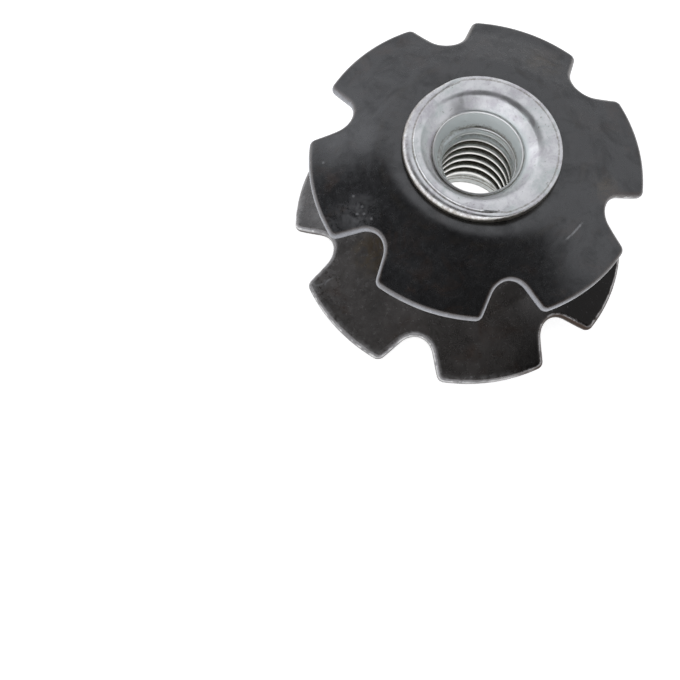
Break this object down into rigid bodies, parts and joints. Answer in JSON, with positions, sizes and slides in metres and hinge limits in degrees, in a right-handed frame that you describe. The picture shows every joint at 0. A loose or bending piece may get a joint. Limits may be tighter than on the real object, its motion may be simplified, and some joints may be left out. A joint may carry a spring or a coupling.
{
  "type": "star nut",
  "caption": "Star nut: a threaded sleeve with a crowned spring-steel star disc swaged on each end, half a tab out of step, to grip the inside of a steerer tube.",
  "frame": {"origin": "on the thread axis, level with the lowest edge of the lower disc's tabs", "axes": "+Z along the thread axis towards the discs' crowned side; +X through the middle of a tab of the upper disc"},
  "size_m": [0.0238, 0.0238, 0.0141],
  "materials": {
    "black_oxide_steel": "satin black oxide on stamped spring steel",
    "zinc_plated_steel": "bright zinc plate, handled and slightly blotched"
  },
  "bodies": {
    "root": {"upper_star_disc": "black_oxide_steel", "lower_star_disc": "black_oxide_steel", "threaded_sleeve": "zinc_plated_steel"}
  },
  "joints": []
}
